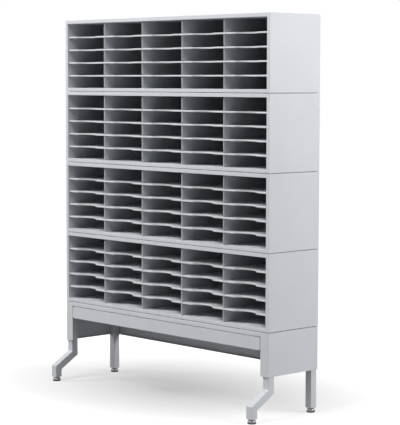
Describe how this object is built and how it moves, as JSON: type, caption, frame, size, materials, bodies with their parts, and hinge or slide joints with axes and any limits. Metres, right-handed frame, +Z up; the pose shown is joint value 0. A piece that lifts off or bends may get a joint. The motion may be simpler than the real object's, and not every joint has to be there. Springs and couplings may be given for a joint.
{
  "type": "pigeonhole mail sorter",
  "caption": "Free-standing grey steel mail sorter: stacked open cases of letter pockets with scooped shelves on a base with cranked front legs and levelling glides.",
  "frame": {"origin": "on the floor under the middle of the sorter's bounding box", "axes": "+Z up, +X to the right as seen from the front, the open front faces -Y"},
  "size_m": [1.524, 0.4486, 1.9192],
  "materials": {
    "grey_coat": "light grey powder coat, satin",
    "shelf_enamel": "pale grey enamel, satin",
    "glide_sole": "matt dark sole",
    "glide_steel": "dull dark plated steel"
  },
  "bodies": {
    "frame": {"case_1_shell": "grey_coat", "case_1_back": "grey_coat", "case_1_divider_1": "grey_coat", "case_1_divider_2": "grey_coat", "case_1_divider_3": "grey_coat", "case_1_divider_4": "grey_coat", "case_1_shelf_1": "shelf_enamel", "case_1_shelf_2": "shelf_enamel", "case_1_shelf_3": "shelf_enamel", "case_1_shelf_4": "shelf_enamel", "case_2_shell": "grey_coat", "case_2_back": "grey_coat", "case_2_divider_1": "grey_coat", "case_2_divider_2": "grey_coat", "case_2_divider_3": "grey_coat", "case_2_divider_4": "grey_coat", "case_2_shelf_1": "shelf_enamel", "case_2_shelf_2": "shelf_enamel", "case_2_shelf_3": "shelf_enamel", "case_2_shelf_4": "shelf_enamel", "case_3_shell": "grey_coat", "case_3_back": "grey_coat", "case_3_divider_1": "grey_coat", "case_3_divider_2": "grey_coat", "case_3_divider_3": "grey_coat", "case_3_divider_4": "grey_coat", "case_3_shelf_1": "shelf_enamel", "case_3_shelf_2": "shelf_enamel", "case_3_shelf_3": "shelf_enamel", "case_3_shelf_4": "shelf_enamel", "case_4_shell": "grey_coat", "case_4_back": "grey_coat", "case_4_divider_1": "grey_coat", "case_4_divider_2": "grey_coat", "case_4_divider_3": "grey_coat", "case_4_divider_4": "grey_coat", "case_4_shelf_1": "shelf_enamel", "case_4_shelf_2": "shelf_enamel", "case_4_shelf_3": "shelf_enamel", "case_4_shelf_4": "shelf_enamel", "base_deck": "grey_coat", "base_apron": "grey_coat", "base_rear_panel": "grey_coat", "end_panel_left": "grey_coat", "end_panel_right": "grey_coat", "front_leg_left": "grey_coat", "front_leg_right": "grey_coat", "rear_leg_left": "grey_coat", "rear_leg_right": "grey_coat"},
    "pad_front_left": {"glide_pad_front_left": "glide_sole"},
    "stud_front_left": {"glide_stud_front_left": "glide_steel"},
    "pad_front_right": {"glide_pad_front_right": "glide_sole"},
    "stud_front_right": {"glide_stud_front_right": "glide_steel"},
    "pad_rear_left": {"glide_pad_rear_left": "glide_sole"},
    "stud_rear_left": {"glide_stud_rear_left": "glide_steel"},
    "pad_rear_right": {"glide_pad_rear_right": "glide_sole"},
    "stud_rear_right": {"glide_stud_rear_right": "glide_steel"}
  },
  "joints": [
    {"name": "level_front_left", "type": "slide", "parent": "frame", "child": "pad_front_left", "axis": [0, 0, -1], "range_m": [0, 0.02]},
    {"name": "turn_front_left", "type": "hinge", "parent": "pad_front_left", "child": "stud_front_left", "pos_m": [-0.74115, -0.20365, 0], "axis": [0, 0, -1], "range_deg": [0, 4800]},
    {"name": "level_front_right", "type": "slide", "parent": "frame", "child": "pad_front_right", "axis": [0, 0, -1], "range_m": [0, 0.02]},
    {"name": "turn_front_right", "type": "hinge", "parent": "pad_front_right", "child": "stud_front_right", "pos_m": [0.74115, -0.20365, 0], "axis": [0, 0, -1], "range_deg": [0, 4800]},
    {"name": "level_rear_left", "type": "slide", "parent": "frame", "child": "pad_rear_left", "axis": [0, 0, -1], "range_m": [0, 0.02]},
    {"name": "turn_rear_left", "type": "hinge", "parent": "pad_rear_left", "child": "stud_rear_left", "pos_m": [-0.74115, 0.19925, 0], "axis": [0, 0, -1], "range_deg": [0, 4800]},
    {"name": "level_rear_right", "type": "slide", "parent": "frame", "child": "pad_rear_right", "axis": [0, 0, -1], "range_m": [0, 0.02]},
    {"name": "turn_rear_right", "type": "hinge", "parent": "pad_rear_right", "child": "stud_rear_right", "pos_m": [0.74115, 0.19925, 0], "axis": [0, 0, -1], "range_deg": [0, 4800]}
  ],
  "couplings": [
    {"joint": "turn_front_left", "follows": "level_front_left", "rad_per_m": 4188.8},
    {"joint": "turn_front_right", "follows": "level_front_right", "rad_per_m": 4188.8},
    {"joint": "turn_rear_left", "follows": "level_rear_left", "rad_per_m": 4188.8},
    {"joint": "turn_rear_right", "follows": "level_rear_right", "rad_per_m": 4188.8}
  ]
}
